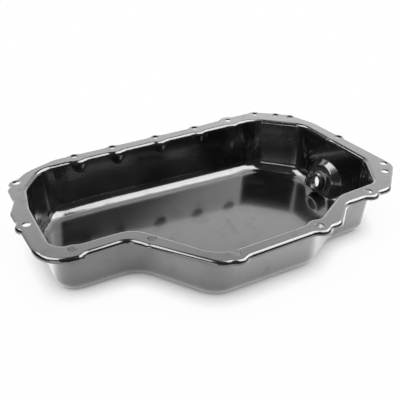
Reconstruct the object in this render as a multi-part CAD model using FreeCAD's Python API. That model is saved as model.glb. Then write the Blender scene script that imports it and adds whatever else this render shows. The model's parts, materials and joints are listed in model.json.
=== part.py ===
import FreeCAD, Part
import math
import os

# Engine oil pan, deep-drawn from one steel sheet, with a threaded weld nut at the drain.
# Millimetres. X runs along the straight back row of bolts, Y across the pan, Z up out of its mouth.
# The plan is drawn from a datum at the third bolt hole, in the plane of the flange's top face.
# The finished pan is moved so that its origin is the middle of its footprint, at its lowest point.

Vector = FreeCAD.Vector

# Sheet and its bends
SHEET = 1.5
MOUTH_BEND = 4.0
LIP_BEND = 3.4
LIP_HEIGHT = 3.9
FLOOR_RADIUS = 12.5

# Depth of the level part of the inside below the flange, and the fall of the floor towards the drain
# for each mm of X past its break, where a wide arc joins the two parts
DEPTH = 53.5
FLOOR_FALL = 0.033
FLOOR_BREAK = 15.0
FLOOR_BREAK_RADIUS = 1500.0

# Bolt holes
BOLT_HOLE = 8.0
BOLTS = [
    # x, y, radius of the ear round the hole
    (-70.0, -28.2, 8.7),
    (-83.5, -108.4, 11.0),
    (0.0, 0.0, 7.8),
    (44.0, 0.0, 8.2),
    (97.0, 0.0, 8.6),
    (148.4, 0.0, 9.0),
    (195.0, 0.0, 12.5),
    (234.2, 0.0, 10.0),
    (254.5, -15.6, 9.0),
    (266.6, -28.6, 8.0),
    (277.4, -104.4, 7.8),
    (273.0, -179.3, 8.2),
    (261.0, -193.1, 8.7),
    (216.7, -214.9, 11.7),
    (136.8, -238.7, 11.7),
    (50.6, -237.5, 11.7),
    (1.3, -183.9, 10.7),
    (-61.7, -164.7, 11.5),
]

# Bolt-head pockets pressed into the wall under the flange: bolt number and radius at the flange
POCKETS = [(2, 16.0), (3, 16.0), (4, 16.0), (5, 16.0), (6, 16.0), (10, 15.5), (14, 12.5), (17, 10.0)]
POCKET_TAPER = 8.0
POCKET_BLEND = 8.0

# Outer edge of the flange between the ears: corner x, y and corner radius, anticlockwise from above
FLANGE_EDGE = [
    (-82.0, -36.0, 6.0),
    (-83.2, -61.5, 14.0),
    (-91.7, -80.5, 14.0),
    (-91.7, -178.6, 31.0),
    (-58.4, -178.6, 5.0),
    (-55.1, -175.3, 2.0),
    (-17.6, -175.3, 12.0),
    (33.9, -246.2, 22.0),
    (157.7, -246.2, 12.0),
    (183.7, -222.7, 18.0),
    (240.7, -222.7, 16.0),
    (281.7, -186.6, 16.0),
    (281.7, -58.1, 50.0),
    (271.9, -23.0, 25.0),
    (238.0, 8.5, 20.0),
    (200.0, 9.0, 60.0),
    (150.0, 4.9, 60.0),
    (-22.0, 4.9, 40.0),
    (-58.0, -8.7, 40.0),
]
EAR_BLEND = 9.0

# Inner face of the wall at the flange plane: corner x, y, corner radius and draft of the side that follows
WALL = [
    (-41.5, -12.5, 25.0, 8.0),
    (-64.5, -43.0, 30.0, 5.0),
    (-72.3, -80.0, 30.0, 4.0),
    (-75.3, -158.0, 18.0, 5.0),
    (-5.0, -159.5, 26.0, 6.5),
    (40.0, -231.3, 30.0, 10.0),
    (143.0, -231.0, 26.0, 7.0),
    (189.0, -205.5, 30.0, 6.5),
    (236.0, -203.5, 14.0, 5.0),
    (262.5, -163.5, 20.0, 4.0),
    (264.5, -56.0, 26.0, 8.0),
    (222.0, -12.5, 32.0, 8.0),
]

# Drain recess in the right-hand end wall: a leaning arched face that flares back into the wall
DRAIN_SIDE = 9
DRAIN_Y = -110.0
DRAIN_SETBACK = 12.2
DRAIN_LEAN = 14.0
DRAIN_RISE = 13.5
DRAIN_RADIUS = 19.5
DRAIN_FLARE = 1.1
DRAIN_EDGE = 3.0
DRAIN_BLEND = 2.0
DRAIN_REACH = 30.0

# Drain nut, for a 14 mm plug
NUT_OUTER = 22.0
NUT_BORE = 14.0
NUT_LENGTH = 7.0
NUT_CHAMFER = 1.5
NUT_LEAD = 1.0
PLUG_CLEARANCE = 0.8

# Working room of the press tools beyond the sheet
TOOL_ROOM = 20.0


def corner_wire(corners, z):
    """A closed wire through (x, y, radius) corners: straight runs joined by tangent arcs."""
    starts = []
    ends = []
    middles = []
    count = len(corners)
    for i in range(count):
        here = Vector(corners[i][0], corners[i][1], z)
        before = Vector(corners[i - 1][0], corners[i - 1][1], z)
        after = Vector(corners[(i + 1) % count][0], corners[(i + 1) % count][1], z)
        radius = corners[i][2]
        to_before = (before - here).normalize()
        to_after = (after - here).normalize()
        half = to_before.getAngle(to_after) / 2
        reach = radius / math.tan(half)
        bisector = (to_before + to_after).normalize()
        centre = here + bisector * (radius / math.sin(half))
        starts.append(here + to_before * reach)
        ends.append(here + to_after * reach)
        middles.append(centre - bisector * radius)
    edges = []
    for i in range(count):
        edges.append(Part.Arc(starts[i], middles[i], ends[i]).toShape())
        edges.append(Part.makeLine(ends[i], starts[(i + 1) % count]))
    return Part.Wire(edges)


def flange_outline():
    """The flange's outer edge: the drawn edge with an ear round each bolt, hollows blended."""
    face = Part.Face(corner_wire(FLANGE_EDGE, 0))
    ears = [Part.Face(Part.Wire(Part.makeCircle(r, Vector(x, y, 0)))) for x, y, r in BOLTS]
    joined = face.fuse(ears).removeSplitter()
    wire = joined.Faces[0].OuterWire
    wider = Part.Face(wire).makeOffset2D(EAR_BLEND, join=0)
    return wider.makeOffset2D(-EAR_BLEND, join=0)


def plane_corner(planes):
    """The point shared by three planes, each given as (normal, distance from the datum)."""
    (a, p), (b, q), (c, r) = planes
    volume = a.dot(b.cross(c))
    return (b.cross(c) * p + c.cross(a) * q + a.cross(b) * r) * (1.0 / volume)


def side_planes(grow):
    """The walls' planes, leaning by their drafts and moved outwards by grow."""
    planes = []
    for i in range(len(WALL)):
        x, y, radius, draft = WALL[i]
        ahead = WALL[(i + 1) % len(WALL)]
        run = Vector(ahead[0] - x, ahead[1] - y, 0).normalize()
        lean = math.radians(draft)
        normal = Vector(run.y * math.cos(lean), -run.x * math.cos(lean), -math.sin(lean))
        planes.append((normal, normal.dot(Vector(x, y, 0)) + grow))
    return planes


def floor_drop(x):
    """How far the floor lies below the flange at x, with its break left sharp."""
    return DEPTH + FLOOR_FALL * max(0.0, x - FLOOR_BREAK)


def below_floor(grow):
    """All the room under the floor moved down by grow: level, then falling, with an arc at the break."""
    slope = math.atan(FLOOR_FALL)
    level = -DEPTH - grow
    far = 2 * WALL[DRAIN_SIDE][0]
    radius = FLOOR_BREAK_RADIUS - grow
    ridge = Vector(FLOOR_BREAK - grow * math.tan(slope / 2), 0, level)
    falling = Vector(math.cos(slope), 0, -math.sin(slope))
    start = ridge - Vector(far, 0, 0)
    end = ridge + falling * far
    before = ridge - Vector(radius * math.tan(slope / 2), 0, 0)
    after = ridge + falling * (radius * math.tan(slope / 2))
    inwards = Vector(-math.sin(slope / 2), 0, -math.cos(slope / 2))
    middle = ridge + inwards * (radius / math.cos(slope / 2) - radius)
    low = end.z - TOOL_ROOM
    side = Part.Face(Part.Wire([
        Part.makeLine(start, before),
        Part.Arc(before, middle, after).toShape(),
        Part.makeLine(after, end),
        Part.makeLine(end, Vector(end.x, 0, low)),
        Part.makeLine(Vector(end.x, 0, low), Vector(start.x, 0, low)),
        Part.makeLine(Vector(start.x, 0, low), start),
    ]))
    side.translate(Vector(0, -far, 0))
    return side.extrude(Vector(0, 2 * far, 0))


def bowl(grow):
    """The hollow of the pan as one solid with rounded corners and floor, grown by grow."""
    sides = side_planes(grow)
    count = len(sides)
    base = (Vector(0, 0, -1), floor_drop(WALL[DRAIN_SIDE][0]) + 2 * SHEET)
    lid = (Vector(0, 0, 1), TOOL_ROOM)
    low = [plane_corner((sides[i - 1], sides[i], base)) for i in range(count)]
    high = [plane_corner((sides[i - 1], sides[i], lid)) for i in range(count)]
    rings = [Part.makePolygon(low + low[:1]), Part.makePolygon(high + high[:1])]
    solid = Part.makeLoft(rings, True, True)
    for i in range(count):
        before = sides[i - 1][0]
        after = sides[i][0]
        turns_out = before.cross(after).z > 0
        radius = WALL[i][2] + (grow if turns_out else -grow)
        solid = solid.makeFillet(radius, [edge_between(solid, low[i], high[i])])
    ground = below_floor(grow)
    solid = solid.cut(ground).Solids[0]
    rim = [edge for edge in seam(solid, ground, solid) if not crosses(edge)]
    return solid.makeFillet(FLOOR_RADIUS + grow, rim)


def crosses(edge):
    """Whether an edge runs straight across the floor, as the floor's own break does."""
    first, last = edge.ParameterRange
    return abs(edge.valueAt(first).x - edge.valueAt(last).x) < 1e-3 and edge.Length > 4 * FLOOR_RADIUS


def edge_between(solid, start, end):
    """The edge of the solid that joins two of its corners."""
    for edge in solid.Edges:
        ends = [v.Point for v in edge.Vertexes]
        if len(ends) == 2 and min(
            ends[0].distanceToPoint(start) + ends[1].distanceToPoint(end),
            ends[1].distanceToPoint(start) + ends[0].distanceToPoint(end),
        ) < 1e-3:
            return edge
    raise ValueError("no edge joins these corners")


def edges_on_plane(solid, plane):
    """The edges of the solid that lie in a plane."""
    normal, distance = plane
    chosen = []
    for edge in solid.Edges:
        first, last = edge.ParameterRange
        points = [edge.valueAt(first + (last - first) * k / 4) for k in range(5)]
        if all(abs(normal.dot(p) - distance) < 1e-3 for p in points):
            chosen.append(edge)
    return chosen


def pocket(number, radius, grow):
    """The half-cone of metal that stands into the hollow round a bolt."""
    x, y = BOLTS[number][:2]
    slope = math.tan(math.radians(POCKET_TAPER))
    at_flange = radius - grow / math.cos(math.radians(POCKET_TAPER))
    drop = DEPTH / 2
    return Part.makeCone(
        at_flange - slope * drop,
        at_flange + slope * TOOL_ROOM,
        drop + TOOL_ROOM,
        Vector(x, y, -drop),
    )


def drain_foot():
    """Where the middle of the drain face meets the floor, set back from the foot of its wall."""
    normal, distance = side_planes(0)[DRAIN_SIDE]
    drop = floor_drop(WALL[DRAIN_SIDE][0])
    x = (distance - normal.y * DRAIN_Y + normal.z * drop) / normal.x - DRAIN_SETBACK
    return Vector(x, DRAIN_Y, -floor_drop(x))


def drain_frame():
    """The placement of the drain's arch centre: X across, Y up the face, Z out through the wall."""
    lean = math.radians(DRAIN_LEAN)
    across = Vector(0, 1, 0)
    up = Vector(math.sin(lean), 0, math.cos(lean))
    out = across.cross(up)
    centre = drain_foot() + up * DRAIN_RISE
    matrix = FreeCAD.Matrix(
        across.x, up.x, out.x, centre.x,
        across.y, up.y, out.y, centre.y,
        across.z, up.z, out.z, centre.z,
        0, 0, 0, 1,
    )
    return FreeCAD.Placement(matrix)


def arch(radius, out):
    """An arched wire in the drain's own frame, its legs running down below the floor."""
    leg = DRAIN_RISE + 1.5 * FLOOR_RADIUS
    corners = [Vector(radius, 0, out), Vector(-radius, 0, out)]
    feet = [Vector(-radius, -leg, out), Vector(radius, -leg, out)]
    crown = Part.Arc(corners[0], Vector(0, radius, out), corners[1]).toShape()
    return Part.Wire([
        crown,
        Part.makeLine(corners[1], feet[0]),
        Part.makeLine(feet[0], feet[1]),
        Part.makeLine(feet[1], corners[0]),
    ])


def drain_recess(grow):
    """The metal's side of the drain recess: an arched face with rounded edges, flaring outwards."""
    radius = DRAIN_RADIUS + grow * (DRAIN_FLARE - math.sqrt(1 + DRAIN_FLARE ** 2))
    wide = radius + DRAIN_FLARE * (DRAIN_REACH - grow)
    solid = Part.makeLoft([arch(radius, grow), arch(wide, DRAIN_REACH)], True, True)
    rim = [
        edge for edge in edges_on_plane(solid, (Vector(0, 0, 1), grow))
        if edge.CenterOfMass.y > -DRAIN_RISE - FLOOR_RADIUS
    ]
    solid = solid.makeFillet(DRAIN_EDGE - grow, rim)
    solid.Placement = drain_frame()
    return solid


def seam(solid, tool, body):
    """The edges of the solid that a tool left where its skin met the skin of the body."""
    chosen = []
    for edge in solid.Edges:
        if edge.BoundBox.ZMin > 0:
            continue
        first, last = edge.ParameterRange
        marks = [Part.Vertex(edge.valueAt(first + (last - first) * share)) for share in (0.25, 0.5, 0.75)]
        if all(tool.Shells[0].distToShape(mark)[0] < 0.01 for mark in marks) and all(
            body.Shells[0].distToShape(mark)[0] < 0.01 for mark in marks
        ):
            chosen.append(edge)
    return chosen


def press_in(body, tool, radius):
    """The body less a tool, with the edges between the two rounded."""
    pressed = body.cut(tool).Solids[0]
    return pressed.makeFillet(radius, seam(pressed, tool, body))


def hollow(grow):
    """The bowl with its bolt pockets and drain recess taken out."""
    solid = bowl(grow)
    for number, radius in POCKETS:
        solid = press_in(solid, pocket(number, radius, grow), POCKET_BLEND + grow)
    return press_in(solid, drain_recess(grow), DRAIN_BLEND + grow)


def press_tool(plan, skin, bottom, lip_bend):
    """A block whose top follows one skin of the sheet: skin is its depth below the upper one."""
    plan = plan.copy()
    plan.translate(Vector(0, 0, bottom))
    block = plan.extrude(Vector(0, 0, -skin - bottom))
    block = block.makeFillet(lip_bend, edges_on_plane(block, (Vector(0, 0, 1), -skin)))
    block = block.cut(hollow(skin)).Solids[0]
    mouth = [
        edge for edge in edges_on_plane(block, (Vector(0, 0, 1), -skin))
        if not on_outline(edge, plan, lip_bend)
    ]
    return block.makeFillet(MOUTH_BEND - skin, mouth)


def on_outline(edge, plan, lip_bend):
    """Whether an edge of a block's top runs along the block's outer edge."""
    first, last = edge.ParameterRange
    middle = edge.valueAt((first + last) / 2)
    middle.z = plan.BoundBox.ZMin
    return plan.OuterWire.distToShape(Part.Vertex(middle))[0] < lip_bend + 0.5


def pressing():
    """The pan: what lies between the two skins, with the lip cut to height and the holes pierced."""
    outline = flange_outline().Faces[0]
    inner_outline = outline.makeOffset2D(-SHEET, join=0).Faces[0]
    upper = press_tool(outline, 0.0, -DEPTH - TOOL_ROOM, LIP_BEND)
    lower = press_tool(inner_outline, SHEET, -DEPTH - 2 * TOOL_ROOM, LIP_BEND - SHEET)
    sheet = upper.cut(lower)

    below_lip = outline.makeOffset2D(TOOL_ROOM, join=0).Faces[0].extrude(Vector(0, 0, 3 * TOOL_ROOM + DEPTH))
    kept = outline.makeOffset2D(-2 * SHEET, join=0).Faces[0].extrude(Vector(0, 0, 3 * TOOL_ROOM + DEPTH))
    trim = below_lip.cut(kept)
    trim.translate(Vector(0, 0, -LIP_HEIGHT - 3 * TOOL_ROOM - DEPTH))
    sheet = sheet.cut(trim)

    bores = [
        Part.makeCylinder(BOLT_HOLE / 2, 3 * SHEET, Vector(x, y, -2 * SHEET)) for x, y, ear in BOLTS
    ]
    sheet = sheet.cut(bores)
    drain_bore = Part.makeCylinder(NUT_BORE / 2 + PLUG_CLEARANCE, 3 * SHEET, Vector(0, 0, -SHEET))
    drain_bore.Placement = drain_frame().multiply(drain_bore.Placement)
    return sheet.cut(drain_bore).Solids[0]


def nut():
    """The round weld nut on the inner side of the drain face, chamfered where it faces the hollow."""
    outer = NUT_OUTER / 2
    bore = NUT_BORE / 2
    profile = Part.makePolygon([
        Vector(bore + NUT_LEAD, 0, 0),
        Vector(outer, 0, 0),
        Vector(outer, 0, -NUT_LENGTH + NUT_CHAMFER),
        Vector(outer - NUT_CHAMFER, 0, -NUT_LENGTH),
        Vector(bore + NUT_LEAD, 0, -NUT_LENGTH),
        Vector(bore, 0, -NUT_LENGTH + NUT_LEAD),
        Vector(bore, 0, -NUT_LEAD),
        Vector(bore + NUT_LEAD, 0, 0),
    ])
    body = Part.Face(profile).revolve(Vector(0, 0, 0), Vector(0, 0, 1), 360)
    body.Placement = drain_frame()
    return body


def main():
    """Builds both pieces, stands them on the middle of the footprint and writes them."""
    pan = pressing()
    drain_nut = nut()
    box = pan.optimalBoundingBox()
    home = Vector(-box.Center.x, -box.Center.y, -box.ZMin)
    os.makedirs("parts", exist_ok=True)
    for name, shape in (("pan", pan), ("drain_nut", drain_nut)):
        placed = shape.copy()
        placed.translate(home)
        placed.exportStep("parts/" + name + ".step")
        size = placed.optimalBoundingBox()
        print(name, placed.isValid(), len(placed.Solids), round(placed.Volume, 1), len(placed.Faces),
              [round(v, 3) for v in (size.XMin, size.YMin, size.ZMin, size.XMax, size.YMax, size.ZMax)])
    print("datum at", [round(v, 3) for v in home])


main()
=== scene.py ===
"""The looks of a deep-drawn engine oil pan: black paint, a cut drain thread, a weld and a white studio."""

import math

import bpy
import numpy as np
from mathutils import Matrix, Vector
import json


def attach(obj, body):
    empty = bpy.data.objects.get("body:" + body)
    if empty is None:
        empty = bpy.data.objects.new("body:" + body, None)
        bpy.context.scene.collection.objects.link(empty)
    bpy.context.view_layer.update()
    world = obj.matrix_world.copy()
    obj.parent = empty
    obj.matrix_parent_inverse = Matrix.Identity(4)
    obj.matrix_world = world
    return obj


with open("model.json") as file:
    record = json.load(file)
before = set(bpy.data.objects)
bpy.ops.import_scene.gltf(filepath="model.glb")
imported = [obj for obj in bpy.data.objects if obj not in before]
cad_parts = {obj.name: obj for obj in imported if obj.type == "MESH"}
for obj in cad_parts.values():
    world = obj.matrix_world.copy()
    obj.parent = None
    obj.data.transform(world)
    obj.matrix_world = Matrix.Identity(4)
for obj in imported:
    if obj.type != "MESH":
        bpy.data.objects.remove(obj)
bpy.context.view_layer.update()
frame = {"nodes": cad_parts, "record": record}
MOUNTS = {mount["name"]: mount for mount in frame["record"]["mounts"]}

# The thread's ridge, in shares of its pitch: half its foot, half its crest and its height
RIDGE_FOOT = 7 / 16
RIDGE_CREST = 1 / 8
RIDGE_HEIGHT = 0.5413

# The ridge's least share of its height, at its ends, and the turns over which it grows from there
RIDGE_LEAST = 0.03
FADE_TURNS = 1 / 3
STEPS_PER_TURN = 72

# Noise values at which a cloud, its roughness, a smudge and a mark of the tap begin and are full
CLOUD_STEP = (0.4, 0.75)
ROUGH_STEP = (0.35, 0.75)
SMUDGE_STEP = (0.5, 0.8)
TEAR_STEP = (0.4, 0.7)

STEPS_PER_RIPPLE = 12
STEPS_ROUND_BEAD = 24
SENSOR_WIDTH = 36.0

# Slopes along X on which the floor is tried under the pan
FLOOR_SLOPES = np.linspace(-0.05, 0.05, 401)

bl_info = {
    "name": "Engine Oil Pan",
    "version": (1, 0, 0),
    "blender": (4, 5, 0),
    "location": "3D View > Sidebar > Oil Pan",
    "description": "Paints the oil pan, cuts its drain thread, welds its nut and sets the studio",
    "category": "Object",
}


class PaintSettings(bpy.types.PropertyGroup):
    """The gloss black paint over the pressing."""

    colour: bpy.props.FloatVectorProperty(
        name="Colour", description="Colour of the black paint under its gloss", subtype="COLOR",
        default=(0.006, 0.006, 0.0063), min=0.0, max=1.0)
    roughness: bpy.props.FloatProperty(
        name="Roughness", description="Roughness of the paint under its clear skin", default=0.17,
        min=0.0, max=1.0)
    skin_roughness: bpy.props.FloatProperty(
        name="Skin Roughness", description="Roughness of the paint's clear skin", default=0.09,
        min=0.0, max=1.0)
    gloss: bpy.props.FloatProperty(
        name="Gloss", description="Index of refraction of the paint and of its clear skin", default=1.5,
        min=1.0, max=3.0)
    cloud_size: bpy.props.FloatProperty(
        name="Cloud Size", description="Width of the faint cloudy patches", default=0.045, unit="LENGTH")
    cloud_range: bpy.props.FloatVectorProperty(
        name="Cloud Range", description="Shares of the colour outside a cloud and in its middle", size=2,
        default=(0.5, 2.6), min=0.0)
    cloud_roughness: bpy.props.FloatProperty(
        name="Cloud Roughness", description="Roughness that a cloud adds", default=0.05, min=0.0, max=1.0)
    smudge_size: bpy.props.FloatProperty(
        name="Smudge Size", description="Width of the smudges on the gloss", default=0.016, unit="LENGTH")
    smudge: bpy.props.FloatProperty(
        name="Smudge", description="How much of the clear skin's gloss a smudge takes", default=0.35,
        min=0.0, max=1.0)
    wave_size: bpy.props.FloatProperty(
        name="Wave Size", description="Width of the shallow waves that the press leaves", default=0.038,
        unit="LENGTH")
    wave_depth: bpy.props.FloatProperty(
        name="Wave Depth", description="Depth of the press waves", default=0.00006, precision=6,
        unit="LENGTH")
    peel_size: bpy.props.FloatProperty(
        name="Peel Size", description="Width of the paint's orange peel", default=0.0016, precision=5,
        unit="LENGTH")
    peel_depth: bpy.props.FloatProperty(
        name="Peel Depth", description="Depth of the paint's orange peel", default=0.000001, precision=7,
        unit="LENGTH")


class ThreadSettings(bpy.types.PropertyGroup):
    """The thread inside the drain nut."""

    pitch: bpy.props.FloatProperty(
        name="Pitch", description="Rise of the thread in one turn", default=0.0015, precision=4,
        unit="LENGTH")
    overrun: bpy.props.FloatProperty(
        name="Overrun", description="How far the thread runs into each lead chamfer", default=0.0006,
        precision=4, unit="LENGTH")
    seat: bpy.props.FloatProperty(
        name="Seat", description="How far the ridge's foot is let into the bore's wall", default=0.00006,
        precision=5, unit="LENGTH")
    steel: bpy.props.FloatVectorProperty(
        name="Steel", description="Colour of the oiled steel that the tap leaves", subtype="COLOR",
        default=(0.06, 0.06, 0.058), min=0.0, max=1.0)
    steel_roughness: bpy.props.FloatProperty(
        name="Steel Roughness", description="Roughness of the oiled steel", default=0.25, min=0.0, max=1.0)
    tear_size: bpy.props.FloatProperty(
        name="Tear Size", description="Width of the marks that the tap leaves", default=0.0004, precision=5,
        unit="LENGTH")
    tear_roughness: bpy.props.FloatProperty(
        name="Tear Roughness", description="Roughness that a mark of the tap adds", default=0.2, min=0.0,
        max=1.0)


class WeldSettings(bpy.types.PropertyGroup):
    """The weld bead round the drain nut's foot."""

    reach: bpy.props.FloatProperty(
        name="Reach", description="Distance of the bead's middle from the nut's axis", default=0.0112,
        precision=4, unit="LENGTH")
    foot: bpy.props.FloatProperty(
        name="Foot", description="Distance of the nut's foot from the middle of its thread", default=0.0035,
        precision=4, unit="LENGTH")
    width: bpy.props.FloatProperty(
        name="Width", description="How far the bead stands from its middle", default=0.0013, precision=4,
        unit="LENGTH")
    ripples: bpy.props.IntProperty(
        name="Ripples", description="Ripples that the torch leaves round the bead", default=34, min=3)
    ripple: bpy.props.FloatProperty(
        name="Ripple", description="Share of the bead's width that a ripple adds", default=0.09, min=0.0,
        max=1.0)


class StudioSettings(bpy.types.PropertyGroup):
    """The floor, the backdrop, the lamps and the camera."""

    floor_size: bpy.props.FloatProperty(
        name="Floor Size", description="Side of the square floor", default=14.0, unit="LENGTH")
    floor_colour: bpy.props.FloatVectorProperty(
        name="Floor Colour", description="Colour of the floor", subtype="COLOR",
        default=(0.99, 0.99, 0.99), min=0.0, max=1.0)
    floor_glow: bpy.props.FloatProperty(
        name="Floor Glow", description="Extra brightness of the floor in reflections", default=1.3)
    floor_shade: bpy.props.FloatProperty(
        name="Floor Shade", description="Reach of the shade beside the pan in that extra brightness",
        default=0.03, unit="LENGTH")
    floor_fill: bpy.props.FloatProperty(
        name="Floor Fill", description="Share of the open floor's white that no shadow dims for the view",
        default=0.92, min=0.0, max=1.0)
    shadow_reach: bpy.props.FloatProperty(
        name="Shadow Reach", description="How far from the pan the camera sees its shadow darker",
        default=0.018, unit="LENGTH")
    lens: bpy.props.FloatProperty(
        name="Lens", description="Focal length of the camera in millimetres, on a 36 mm sensor",
        default=54.0)
    camera_place: bpy.props.FloatVectorProperty(
        name="Camera Place", description="Where the camera stands, from the middle of the flange's face",
        subtype="TRANSLATION", default=(-0.1981, -0.5647, 0.2820), precision=4)
    camera_heading: bpy.props.FloatProperty(
        name="Camera Heading", description="Turn of the view from the pan's length, anticlockwise",
        default=math.radians(59.65), subtype="ANGLE")
    camera_pitch: bpy.props.FloatProperty(
        name="Camera Pitch", description="How far the view tips down", default=math.radians(30.2),
        subtype="ANGLE")
    daylight: bpy.props.FloatProperty(
        name="Daylight", description="Share of the plain light that comes from all round", default=0.4)
    backdrop_heading: bpy.props.FloatProperty(
        name="Backdrop Heading", description="Turn of the backdrop's middle from the pan's length",
        default=math.radians(52.0), subtype="ANGLE")
    backdrop_side: bpy.props.FloatVectorProperty(
        name="Backdrop Side", description="Cosines of the turns between which the backdrop fades",
        size=2, default=(0.2, 0.5), min=-1.0, max=1.0)
    backdrop_top: bpy.props.FloatVectorProperty(
        name="Backdrop Top", description="Sines of the heights between which the backdrop fades",
        size=2, default=(0.56, 0.75), min=-1.0, max=1.0)
    backdrop_glow: bpy.props.FloatProperty(
        name="Backdrop Glow", description="Brightness of the backdrop in reflections", default=1.8)
    room_glow: bpy.props.FloatProperty(
        name="Room Glow", description="Brightness of the room behind the camera in reflections",
        default=0.12)
    lamp_distance: bpy.props.FloatProperty(
        name="Lamp Distance", description="How far the softboxes stand off", default=1.5, unit="LENGTH")
    top_spread: bpy.props.FloatProperty(
        name="Top Spread", description="Angle that the light overhead fills", default=math.radians(50.0),
        subtype="ANGLE")
    top_tilt: bpy.props.FloatProperty(
        name="Top Tilt", description="How far the light overhead leans towards the camera",
        default=math.radians(20.0), subtype="ANGLE")
    right_place: bpy.props.FloatVectorProperty(
        name="Right Place", description="Turn from the pan's length and height of the right softbox", size=2,
        default=(math.radians(-12.0), math.radians(58.0)), subtype="EULER")
    right_size: bpy.props.FloatVectorProperty(
        name="Right Size", description="Width and height of the right softbox", size=2,
        default=(1.55, 1.25), unit="LENGTH")
    right_radiance: bpy.props.FloatProperty(
        name="Right Radiance", description="Brightness of the right softbox in reflections", default=9.0)
    left_place: bpy.props.FloatVectorProperty(
        name="Left Place", description="Turn from the pan's length and height of the left softbox", size=2,
        default=(math.radians(145.0), math.radians(58.0)), subtype="EULER")
    left_size: bpy.props.FloatVectorProperty(
        name="Left Size", description="Width and height of the left softbox", size=2,
        default=(1.4, 0.75), unit="LENGTH")
    left_radiance: bpy.props.FloatProperty(
        name="Left Radiance", description="Brightness of the left softbox in reflections", default=8.5)
    low_place: bpy.props.FloatVectorProperty(
        name="Low Place", description="Turn from the pan's length and height of the low softbox", size=2,
        default=(math.radians(-150.0), math.radians(15.0)), subtype="EULER")
    low_size: bpy.props.FloatVectorProperty(
        name="Low Size", description="Width and height of the low softbox", size=2,
        default=(0.7, 0.45), unit="LENGTH")
    low_radiance: bpy.props.FloatProperty(
        name="Low Radiance", description="Brightness of the low softbox in reflections", default=4.5)


class Strand:
    """One socket of a node tree, with operators that add the Math nodes of an expression."""

    def __init__(self, tree, socket):
        self.tree = tree
        self.socket = socket

    def maths(self, operation, *values):
        return node(self.tree, "ShaderNodeMath", {"operation": operation}, values)

    def __add__(self, other):
        return self.maths("ADD", self, other)

    def __sub__(self, other):
        return self.maths("SUBTRACT", self, other)

    def __rsub__(self, other):
        return self.maths("SUBTRACT", other, self)

    def __mul__(self, other):
        return self.maths("MULTIPLY", self, other)

    __radd__ = __add__
    __rmul__ = __mul__

    def step(self, low, high):
        """0 below low, 1 above high, and smooth between."""
        return node(self.tree, "ShaderNodeMapRange", {"interpolation_type": "SMOOTHSTEP"},
                    {"Value": self, "From Min": low, "From Max": high})


def node(tree, kind, settings, values, output=0):
    """Adds one node: its settings first, then the values or links of its sockets, by place or by name."""
    made = tree.nodes.new(kind)
    for name, value in settings.items():
        setattr(made, name, value)
    items = values.items() if isinstance(values, dict) else enumerate(values)
    for key, value in items:
        if isinstance(value, Strand):
            tree.links.new(value.socket, made.inputs[key])
        else:
            made.inputs[key].default_value = value
    return Strand(tree, made.outputs[output]) if len(made.outputs) else None


def new_material(name):
    """An empty node material."""
    material = bpy.data.materials.new(name)
    material.use_nodes = True
    material.node_tree.nodes.clear()
    return material, material.node_tree


def noise(tree, place, size, detail=2.0, roughness=0.5):
    """Smooth noise between 0 and 1 whose patches are about size across."""
    return node(tree, "ShaderNodeTexNoise", {},
                {"Vector": place, "Scale": 1.0 / size, "Detail": detail, "Roughness": roughness})


def paint_material(settings):
    """Gloss black paint: cloudy gloss, smudges, shallow press waves and a fine orange peel."""
    material, tree = new_material("gloss_black_paint")
    place = node(tree, "ShaderNodeTexCoord", {}, {}, "Object")
    clouds = noise(tree, place, settings.cloud_size, detail=3.0, roughness=0.6)
    smudges = noise(tree, place, settings.smudge_size, detail=4.0, roughness=0.6)
    waves = noise(tree, place, settings.wave_size, detail=1.0)
    peel = noise(tree, place, settings.peel_size)
    outside, middle = [(*[share * c for c in settings.colour], 1.0) for share in settings.cloud_range]
    colour = node(tree, "ShaderNodeMix", {"data_type": "RGBA"}, {
        "Factor": clouds.step(*CLOUD_STEP), "A": outside, "B": middle}, "Result")
    rough = clouds.step(*ROUGH_STEP) * settings.cloud_roughness + settings.roughness
    skin = 1.0 - smudges.step(*SMUDGE_STEP) * settings.smudge
    wavy = node(tree, "ShaderNodeBump", {}, {"Distance": settings.wave_depth, "Height": waves})
    peeled = node(tree, "ShaderNodeBump", {}, {
        "Distance": settings.peel_depth, "Height": peel, "Normal": wavy})
    surface = node(tree, "ShaderNodeBsdfPrincipled", {}, {
        "Base Color": colour, "Roughness": rough, "Normal": peeled, "IOR": settings.gloss,
        "Coat Weight": skin, "Coat Roughness": settings.skin_roughness, "Coat IOR": settings.gloss})
    node(tree, "ShaderNodeOutputMaterial", {}, {"Surface": surface})
    return material


def steel_material(settings):
    """Oiled steel of the tapped thread, which is cut after the paint: duller where the tap tore it."""
    material, tree = new_material("tapped_steel")
    place = node(tree, "ShaderNodeTexCoord", {}, {}, "Object")
    tears = noise(tree, place, settings.tear_size, detail=3.0)
    surface = node(tree, "ShaderNodeBsdfPrincipled", {}, {
        "Base Color": (*settings.steel, 1.0), "Metallic": 1.0,
        "Roughness": tears.step(*TEAR_STEP) * settings.tear_roughness + settings.steel_roughness})
    node(tree, "ShaderNodeOutputMaterial", {}, {"Surface": surface})
    return material


def give(piece, material):
    """The piece wears one material all over."""
    piece.data.materials.clear()
    piece.data.materials.append(material)


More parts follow.
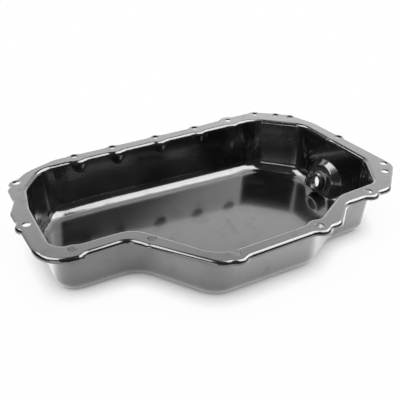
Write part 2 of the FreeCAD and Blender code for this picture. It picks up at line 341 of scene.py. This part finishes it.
def mesh_piece(name, grid, body, ring=False):
    """A closed mesh from a grid of points (rows, columns, 3).

    The columns close round. The rows close round too in a ring, and else the ends are capped.
    """
    rows, columns = grid.shape[:2]
    index = np.arange(rows * columns).reshape(rows, columns)
    low = index if ring else index[:-1]
    high = np.roll(index, -1, axis=0)[:len(low)]
    quads = np.stack([low, np.roll(low, -1, axis=1), np.roll(high, -1, axis=1), high], axis=-1)
    caps = [] if ring else [index[0, ::-1].tolist(), index[-1].tolist()]
    faces = quads.reshape(-1, 4).tolist() + caps
    mesh = bpy.data.meshes.new(name)
    mesh.from_pydata(grid.reshape(-1, 3).tolist(), [], faces)
    mesh.validate()
    piece = bpy.data.objects.new(name, mesh)
    bpy.context.scene.collection.objects.link(piece)
    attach(piece, body)
    return piece


def turned(centre, axis, angle, reach, height):
    """Points turned round an axis: centre + reach (side cos a + other sin a) + height axis.

    There is one angle a per row. Side and other are the two directions square to the axis.
    """
    side = np.array(Vector(axis).orthogonal().normalized())
    other = np.cross(axis, side)
    spoke = np.cos(angle)[:, None] * side + np.sin(angle)[:, None] * other
    return np.array(centre) + reach[..., None] * spoke[:, None, :] + height[..., None] * np.array(axis)


def weld_grid(centre, axis, settings):
    """The weld's bead: a round rope in a ring, of radius width (1 + ripple cos(ripples a)) at angle a."""
    angle = np.linspace(0.0, 2 * math.pi, STEPS_PER_RIPPLE * settings.ripples, endpoint=False)
    round_rope = np.linspace(0.0, -2 * math.pi, STEPS_ROUND_BEAD, endpoint=False)
    rope = settings.width * (1 + settings.ripple * np.cos(settings.ripples * angle))[:, None]
    return turned(centre, axis, angle, settings.reach + rope * np.cos(round_rope),
                  settings.foot + rope * np.sin(round_rope))


def thread_grid(centre, axis, radius, length, settings):
    """The thread's ridge: a trapezium carried along a helix on the bore's wall.

    At turn angle a the ridge's middle is at height pitch * a / 2 pi along the axis. Its four corners stand
    half the foot from it at the wall and half the crest at the height of the ridge, further in. The ridge
    rises from almost nothing over the first third of a turn, and falls back over the last.
    """
    span = length + 2 * settings.overrun
    turns = span / settings.pitch
    angle = np.linspace(0.0, 2 * math.pi * turns, int(STEPS_PER_TURN * turns) + 1)
    from_end = np.minimum(angle, angle[-1] - angle)
    fade = np.clip(from_end / (2 * math.pi * FADE_TURNS), RIDGE_LEAST, 1.0)
    half = np.array([-RIDGE_FOOT, -RIDGE_CREST, RIDGE_CREST, RIDGE_FOOT]) * settings.pitch
    crest = np.array([0.0, 1.0, 1.0, 0.0]) * RIDGE_HEIGHT * settings.pitch
    reach = radius + settings.seat - crest[None, :] * fade[:, None]
    height = (settings.pitch * angle / (2 * math.pi) - span / 2)[:, None] + half[None, :] * fade[:, None]
    return turned(centre, axis, angle, reach, height)


class OILPAN_OT_paint(bpy.types.Operator):
    """Gives the pressing and the drain nut their gloss black paint"""

    bl_idname = "oilpan.paint"
    bl_label = "Paint the Pan"

    def execute(self, context):
        paint = paint_material(context.scene.oilpan_paint)
        for name in ("pan", "drain_nut"):
            give(frame["nodes"][name], paint)
        return {"FINISHED"}


class OILPAN_OT_thread(bpy.types.Operator):
    """Cuts the thread inside the drain nut"""

    bl_idname = "oilpan.thread"
    bl_label = "Cut the Drain Thread"

    def execute(self, context):
        mount = MOUNTS["drain_thread"]
        grid = thread_grid(mount["pos_m"], mount["axis"], mount["dims"]["r_mm"] / 1000,
                           mount["dims"]["length_mm"] / 1000, context.scene.oilpan_thread)
        thread = mesh_piece("drain_thread", grid, "root")
        give(thread, steel_material(context.scene.oilpan_thread))
        return {"FINISHED"}


class OILPAN_OT_weld(bpy.types.Operator):
    """Lays the weld bead round the drain nut's foot"""

    bl_idname = "oilpan.weld"
    bl_label = "Weld the Drain Nut"

    def execute(self, context):
        mount = MOUNTS["drain_thread"]
        grid = weld_grid(mount["pos_m"], mount["axis"], context.scene.oilpan_weld)
        weld = mesh_piece("drain_weld", grid, "root", ring=True)
        weld.data.shade_smooth()
        give(weld, frame["nodes"]["drain_nut"].data.materials[0])
        return {"FINISHED"}


def studio_world(settings):
    """White to the camera, plain light on the object, and a lit backdrop and a dim room in reflections."""
    world = bpy.data.worlds.new("studio")
    world.use_nodes = True
    tree = world.node_tree
    tree.nodes.clear()
    direction = node(tree, "ShaderNodeTexCoord", {}, {}, "Generated")
    height = node(tree, "ShaderNodeSeparateXYZ", {}, {"Vector": direction}, "Z")
    heading = settings.backdrop_heading
    facing = node(tree, "ShaderNodeVectorMath", {"operation": "DOT_PRODUCT"}, {
        0: direction, 1: (math.cos(heading), math.sin(heading), 0.0)}, "Value")
    backdrop = facing.step(*settings.backdrop_side) * (1.0 - height.step(*settings.backdrop_top))
    glow = settings.room_glow + backdrop * (settings.backdrop_glow - settings.room_glow)
    glossy = node(tree, "ShaderNodeLightPath", {}, {}, "Is Glossy Ray")
    camera = node(tree, "ShaderNodeLightPath", {}, {}, "Is Camera Ray")
    plain = settings.daylight + camera * (1.0 - settings.daylight)
    strength = plain + glossy * (glow - plain)
    background = node(tree, "ShaderNodeBackground", {}, {"Color": (1, 1, 1, 1), "Strength": strength})
    node(tree, "ShaderNodeOutputWorld", {}, {"Surface": background})
    bpy.context.scene.world = world


def resting_line(piece):
    """Where the piece stands: a point below its middle and the slope along X of the floor that it touches.

    A floor of slope s touches it at the lowest z - s (x - middle). The piece stands on the slope whose
    touching floor passes highest under the middle, since it then touches on both sides of it.
    """
    points = np.empty(len(piece.data.vertices) * 3)
    piece.data.vertices.foreach_get("co", points)
    x, _, z = points.reshape(-1, 3).T
    heights = [(z - slope * (x - x.mean())).min() for slope in FLOOR_SLOPES]
    best = int(np.argmax(heights))
    return (x.mean(), 0.0, heights[best]), FLOOR_SLOPES[best]


def floor_material(settings):
    """A matt white floor, which gloss sees lit as brightly as the backdrop; beside the pan that glow is
    dimmed by painted shade.
    """
    material, tree = new_material("studio_floor")
    matt = node(tree, "ShaderNodeBsdfDiffuse", {}, {"Color": (*settings.floor_colour, 1.0)})
    # The camera sees the floor mostly as this white glow, held back beside the pan by ambient occlusion, so
    # that the matt floor's real shadow shows there.
    white = node(tree, "ShaderNodeEmission", {}, {"Strength": 1.0})
    camera = node(tree, "ShaderNodeLightPath", {}, {}, "Is Camera Ray")
    clear = node(tree, "ShaderNodeAmbientOcclusion", {}, {"Distance": settings.shadow_reach}, "AO")
    filled = camera * clear * settings.floor_fill
    seen = node(tree, "ShaderNodeMixShader", {}, {0: filled, 1: matt, 2: white})
    # Painted shade: the floor's extra glow in reflections is dimmed beside the pan by ambient occlusion.
    glossy = node(tree, "ShaderNodeLightPath", {}, {}, "Is Glossy Ray")
    open_air = node(tree, "ShaderNodeAmbientOcclusion", {}, {"Distance": settings.floor_shade}, "AO")
    glow = node(tree, "ShaderNodeEmission", {}, {"Strength": settings.floor_glow})
    lit = node(tree, "ShaderNodeAddShader", {}, {0: seen, 1: glow})
    mirrored = node(tree, "ShaderNodeMixShader", {}, {0: glossy * open_air, 1: seen, 2: lit})
    node(tree, "ShaderNodeOutputMaterial", {}, {"Surface": mirrored})
    return material


def softbox(name, place, distance, size, power):
    """A rectangular lamp that only gloss shows, at a turn and height round the origin, which it faces."""
    turn, height = place
    away = Vector((math.cos(turn) * math.cos(height), math.sin(turn) * math.cos(height), math.sin(height)))
    lamp = bpy.data.lights.new(name, "AREA")
    lamp.shape = "RECTANGLE"
    lamp.size, lamp.size_y = size
    lamp.energy = power
    box = bpy.data.objects.new(name, lamp)
    bpy.context.scene.collection.objects.link(box)
    box.location = away * distance
    box.rotation_euler = away.to_track_quat("Z", "Y").to_euler()
    box.visible_camera = False
    box.visible_diffuse = False


def lay_floor(settings):
    """The floor under the pan, on the slope that the pan stands on."""
    foot, slope = resting_line(frame["nodes"]["pan"])
    bpy.ops.mesh.primitive_plane_add(size=settings.floor_size)
    floor = bpy.context.object
    floor.name = "floor"
    floor.data.transform(Matrix.Translation(foot) @ Matrix.Rotation(-math.atan(slope), 4, "Y"))
    give(floor, floor_material(settings))


def hang_lamps(settings):
    """Light from overhead for the plain level, and three softboxes that only gloss shows."""
    overhead = bpy.data.lights.new("overhead", "SUN")
    overhead.angle = settings.top_spread
    overhead.energy = (1.0 - settings.daylight) * math.pi
    top = bpy.data.objects.new("overhead", overhead)
    bpy.context.scene.collection.objects.link(top)
    top.rotation_euler = (settings.top_tilt, 0, settings.camera_heading - math.pi / 2)
    top.visible_glossy = False
    for side in ("right", "left", "low"):
        turn_and_height = getattr(settings, side + "_place")
        size = getattr(settings, side + "_size")
        power = getattr(settings, side + "_radiance") * size[0] * size[1] * math.pi
        softbox(side + "_softbox", turn_and_height, settings.lamp_distance, size, power)


def set_camera(settings):
    """The camera, placed from the flange's face and turned by its heading and its pitch."""
    heading, pitch = settings.camera_heading, settings.camera_pitch
    ahead = Vector((math.cos(heading) * math.cos(pitch), math.sin(heading) * math.cos(pitch),
                    -math.sin(pitch)))
    camera = bpy.data.cameras.new("camera")
    camera.lens = settings.lens
    camera.sensor_width = SENSOR_WIDTH
    camera.clip_start = 0.01
    eye = bpy.data.objects.new("camera", camera)
    bpy.context.scene.collection.objects.link(eye)
    eye.location = Vector(MOUNTS["flange_face"]["pos_m"]) + Vector(settings.camera_place)
    eye.rotation_euler = ahead.to_track_quat("-Z", "Y").to_euler()
    bpy.context.scene.camera = eye


class OILPAN_OT_studio(bpy.types.Operator):
    """Sets the floor, the backdrop, the lamps and the camera"""

    bl_idname = "oilpan.studio"
    bl_label = "Set the Studio"

    def execute(self, context):
        settings = context.scene.oilpan_studio
        lay_floor(settings)
        studio_world(settings)
        hang_lamps(settings)
        set_camera(settings)
        context.scene.view_settings.view_transform = "Standard"
        return {"FINISHED"}


class OILPAN_PT_panel(bpy.types.Panel):
    """The oil pan's settings and steps"""

    bl_idname = "OILPAN_PT_panel"
    bl_label = "Oil Pan"
    bl_space_type = "VIEW_3D"
    bl_region_type = "UI"
    bl_category = "Oil Pan"

    def draw(self, context):
        for group, step in (("oilpan_paint", "oilpan.paint"), ("oilpan_thread", "oilpan.thread"),
                            ("oilpan_weld", "oilpan.weld"), ("oilpan_studio", "oilpan.studio")):
            settings = getattr(context.scene, group)
            column = self.layout.column()
            for name in settings.__annotations__:
                column.prop(settings, name)
            column.operator(step)


CLASSES = (PaintSettings, ThreadSettings, WeldSettings, StudioSettings, OILPAN_OT_paint, OILPAN_OT_thread,
           OILPAN_OT_weld, OILPAN_OT_studio, OILPAN_PT_panel)
GROUPS = {"oilpan_paint": PaintSettings, "oilpan_thread": ThreadSettings, "oilpan_weld": WeldSettings,
          "oilpan_studio": StudioSettings}


def register():
    """Registers the classes and hangs the settings on the scene."""
    for each in CLASSES:
        bpy.utils.register_class(each)
    for name, group in GROUPS.items():
        setattr(bpy.types.Scene, name, bpy.props.PointerProperty(type=group))


def unregister():
    """Takes the settings and the classes away again."""
    for name in GROUPS:
        delattr(bpy.types.Scene, name)
    for each in reversed(CLASSES):
        bpy.utils.unregister_class(each)


def main():
    """Builds everything in order."""
    register()
    bpy.ops.oilpan.paint()
    bpy.ops.oilpan.thread()
    bpy.ops.oilpan.weld()
    bpy.ops.oilpan.studio()


if __name__ == "__main__":
    main()
